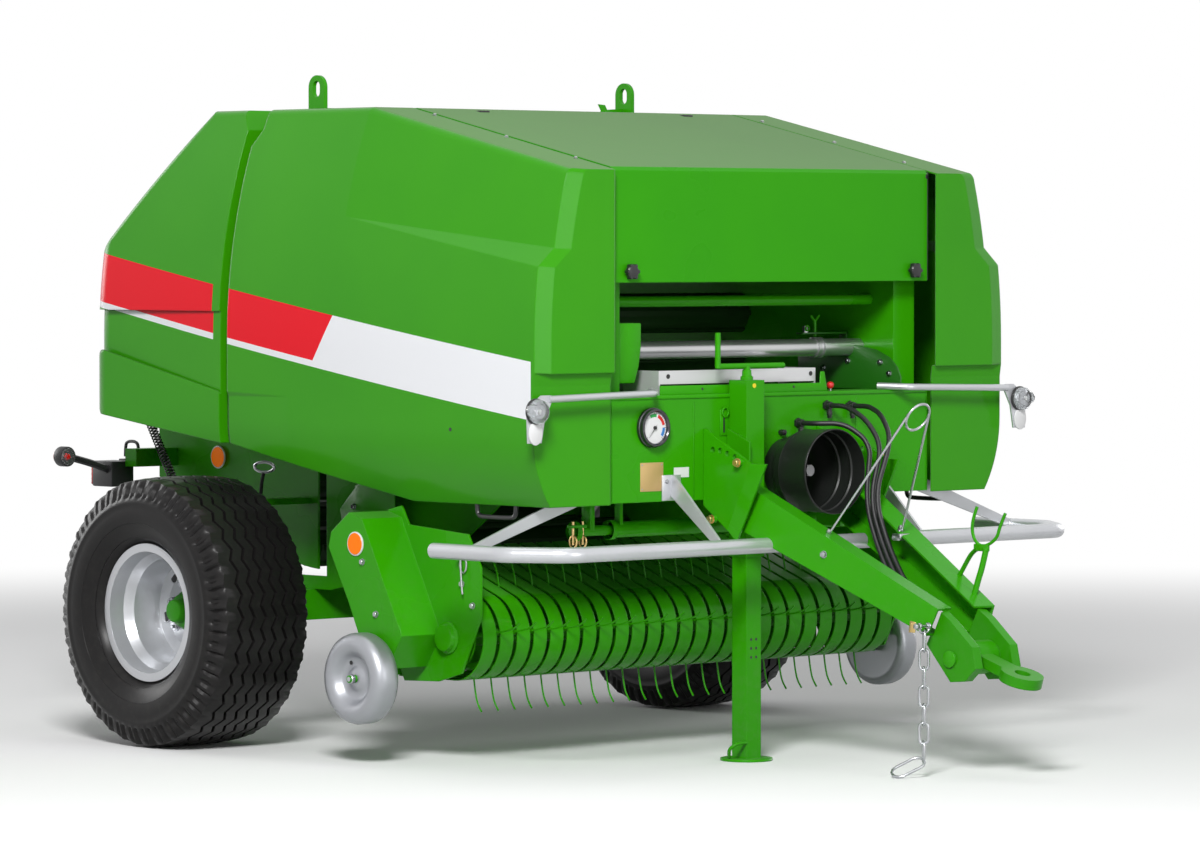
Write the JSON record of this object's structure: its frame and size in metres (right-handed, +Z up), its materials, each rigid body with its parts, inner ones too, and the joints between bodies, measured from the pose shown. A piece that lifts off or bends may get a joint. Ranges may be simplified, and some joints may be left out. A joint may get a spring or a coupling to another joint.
{
  "type": "round baler",
  "caption": "Towed round baler with a fixed roller chamber, lifting tailgate, side covers, hood and pickup, on two wide tyres and a jack stand.",
  "frame": {"origin": "on the ground below the middle of the machine's box", "axes": "+X to the machine's left, +Y to the rear, +Z up; the tow eye points to -Y"},
  "size_m": [2.6414, 3.5578, 2.1649],
  "materials": {
    "green_paint": "gloss paint",
    "dark_green_paint": "satin paint",
    "silver_paint": "satin silver paint",
    "bright_steel": "ground steel",
    "zinc_steel": "zinc plated",
    "aluminium_sheet": "satin",
    "tyre_rubber": "satin rubber",
    "black_plastic": "satin plastic",
    "white_plastic": "gloss plastic",
    "hose_rubber": "satin rubber",
    "cast_iron": "painted casting"
  },
  "bodies": {
    "chassis": {"axle_beam": "green_paint", "cross_members": "green_paint", "drawbar_beams": "green_paint", "drawbar_brackets": "green_paint", "front_box": "green_paint", "front_lamps": "white_plastic", "front_rollers": "dark_green_paint", "gearbox": "cast_iron", "guard_rail": "silver_paint", "hose_ends": "zinc_steel", "hoses": "hose_rubber", "shaft_rest": "zinc_steel", "lamp_arms": "silver_paint", "lift_lugs": "green_paint", "net_roller": "bright_steel", "net_tray": "aluminium_sheet", "pressure_gauge": "white_plastic", "pto_guard": "black_plastic", "roof_panel": "green_paint", "safety_chain": "zinc_steel", "side_walls": "green_paint", "stand_tube": "green_paint", "tow_hitch": "green_paint"},
    "wheel_left": {"rim_left": "silver_paint", "tyre_left": "tyre_rubber"},
    "wheel_right": {"rim_right": "silver_paint", "tyre_right": "tyre_rubber"},
    "pickup": {"pickup_frame": "green_paint", "pickup_bands": "green_paint"},
    "reel": {"pickup_reel": "green_paint"},
    "gauge_left": {"gauge_wheel_left": "silver_paint"},
    "gauge_right": {"gauge_wheel_right": "silver_paint"},
    "gate": {"gate_walls": "green_paint", "gate_rollers": "dark_green_paint", "gate_frame": "green_paint", "gate_cover_left": "green_paint", "gate_cover_right": "green_paint", "rear_lamps": "black_plastic"},
    "side_cover_left": {"cover_left": "green_paint"},
    "side_cover_right": {"cover_right": "green_paint"},
    "hood": {"hood": "green_paint"},
    "stand": {"stand_leg": "green_paint"},
    "pto": {"pto_shaft": "bright_steel"}
  },
  "joints": [
    {"name": "wheel_left_spin", "type": "hinge", "parent": "chassis", "child": "wheel_left", "pos_m": [1.12, 0.928, 0.435], "axis": [1, 0, 0], "continuous": true},
    {"name": "wheel_right_spin", "type": "hinge", "parent": "chassis", "child": "wheel_right", "pos_m": [-1.12, 0.928, 0.435], "axis": [1, 0, 0], "continuous": true},
    {"name": "pickup_lift", "type": "hinge", "parent": "chassis", "child": "pickup", "pos_m": [0, 0.628, 0.78], "axis": [1, 0, 0], "range_deg": [0, 10]},
    {"name": "reel_spin", "type": "hinge", "parent": "pickup", "child": "reel", "pos_m": [0, -0.162, 0.395], "axis": [1, 0, 0], "continuous": true},
    {"name": "gauge_left_spin", "type": "hinge", "parent": "pickup", "child": "gauge_left", "pos_m": [1.154, 0.008, 0.27], "axis": [1, 0, 0], "continuous": true},
    {"name": "gauge_right_spin", "type": "hinge", "parent": "pickup", "child": "gauge_right", "pos_m": [-1.154, 0.008, 0.27], "axis": [1, 0, 0], "continuous": true},
    {"name": "gate_swing", "type": "hinge", "parent": "chassis", "child": "gate", "pos_m": [0, 0.843, 2.02], "axis": [1, 0, 0], "range_deg": [0, 65]},
    {"name": "side_cover_left_lift", "type": "hinge", "parent": "chassis", "child": "side_cover_left", "pos_m": [0.712, 0.528, 2.04], "axis": [0, -1, 0], "range_deg": [0, 75]},
    {"name": "side_cover_right_lift", "type": "hinge", "parent": "chassis", "child": "side_cover_right", "pos_m": [-0.712, 0.528, 2.04], "axis": [0, 1, 0], "range_deg": [0, 75]},
    {"name": "hood_lift", "type": "hinge", "parent": "chassis", "child": "hood", "pos_m": [0, 0.273, 2.04], "axis": [-1, 0, 0], "range_deg": [0, 60]},
    {"name": "pto_spin", "type": "hinge", "parent": "chassis", "child": "pto", "pos_m": [0.058, -0.572, 0.905], "axis": [0, 1, 0], "continuous": true},
    {"name": "stand_slide", "type": "slide", "parent": "chassis", "child": "stand", "axis": [0, 0, 1], "range_m": [0, 0.35]}
  ]
}
